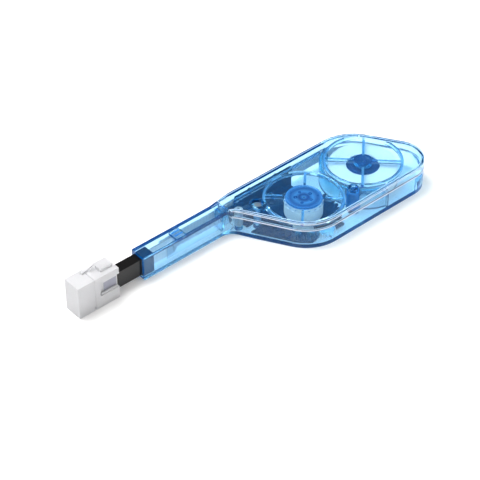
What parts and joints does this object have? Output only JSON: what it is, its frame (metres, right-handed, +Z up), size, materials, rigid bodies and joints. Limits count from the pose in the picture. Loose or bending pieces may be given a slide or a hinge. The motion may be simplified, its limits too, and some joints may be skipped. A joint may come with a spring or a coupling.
{
  "type": "fibre connector cleaning pen",
  "caption": "Push-type cleaner for multi-fibre connectors: flat clear case with two tape reels, a sliding nozzle and a guide cap with a hinged dust lid.",
  "frame": {"origin": "on the flat bottom of the case, below the axis of the barrel, 3 mm behind the foot of the ramp", "axes": "+X along the barrel from the cap towards the tail, +Y to the left, +Z up out of the flat bottom"},
  "size_m": [0.2005, 0.049, 0.0215],
  "materials": {
    "clear_blue": "clear blue tinted plastic",
    "black_plastic": "black moulded plastic",
    "clear_white": "clear white plastic",
    "tape": "white woven cleaning tape",
    "white_plastic": "natural white plastic",
    "navy_plastic": "dark blue plastic",
    "steel": "bright steel"
  },
  "bodies": {
    "case": {"bottom_shell": "clear_blue", "top_cover": "clear_blue", "cover_screw": "steel", "rear_screw": "steel", "roller_pin": "steel", "supply_washer": "steel", "feed_tape_run": "tape", "return_tape_run": "tape", "return_spring": "steel"},
    "slider": {"nozzle": "black_plastic", "tape_head": "black_plastic", "tape_loop": "tape", "guide_rod": "white_plastic", "carriage": "black_plastic"},
    "drive": {"drive_gear": "black_plastic"},
    "take_up": {"take_up_reel": "white_plastic", "used_tape": "tape"},
    "supply": {"supply_reel": "navy_plastic", "supply_tape": "tape"},
    "roller": {"neck_roller": "white_plastic"},
    "pawl": {"stop_pawl": "black_plastic"},
    "cap": {"guide_cap": "clear_white", "lid_pin": "steel"},
    "lid": {"dust_lid": "clear_white"}
  },
  "joints": [
    {"name": "push_slide", "type": "slide", "parent": "case", "child": "slider", "axis": [1, 0, 0], "range_m": [0, 0.008], "stiffness_N_per_m": 200, "springref_m": -0.002, "deforming": ["return_spring"]},
    {"name": "drive_gear_turn", "type": "hinge", "parent": "case", "child": "drive", "pos_m": [0.0245, -0.0214, 0.008], "axis": [0, 0, 1], "range_deg": [-25.61, 0]},
    {"name": "take_up_turn", "type": "hinge", "parent": "case", "child": "take_up", "pos_m": [0.0245, -0.0214, 0.008], "axis": [0, 0, 1], "range_deg": [-25.61, 0]},
    {"name": "supply_turn", "type": "hinge", "parent": "case", "child": "supply", "pos_m": [0.0676, -0.0195, 0.008], "axis": [0, 0, 1], "range_deg": [0, 14.23]},
    {"name": "roller_turn", "type": "hinge", "parent": "case", "child": "roller", "pos_m": [-0.0046, -0.0053, 0.008], "axis": [0, 0, 1], "range_deg": [-109.76, 0]},
    {"name": "stop_pawl_turn", "type": "hinge", "parent": "case", "child": "pawl", "pos_m": [0.015, -0.0086, 0.0124], "axis": [0, 0, 1], "range_deg": [0, 12], "stiffness_Nm_per_rad": 0.0005},
    {"name": "cap_pull", "type": "slide", "parent": "slider", "child": "cap", "axis": [-1, 0, 0], "range_m": [0, 0.03]},
    {"name": "lid_hinge", "type": "hinge", "parent": "cap", "child": "lid", "pos_m": [-0.0946, 0, 0.0009], "axis": [0, 1, 0], "range_deg": [-100, 0]}
  ],
  "couplings": [
    {"joint": "drive_gear_turn", "follows": "push_slide", "rad_per_m": -55.556},
    {"joint": "take_up_turn", "follows": "push_slide", "rad_per_m": -55.556},
    {"joint": "supply_turn", "follows": "push_slide", "rad_per_m": 30.726},
    {"joint": "roller_turn", "follows": "push_slide", "rad_per_m": -239.13}
  ]
}
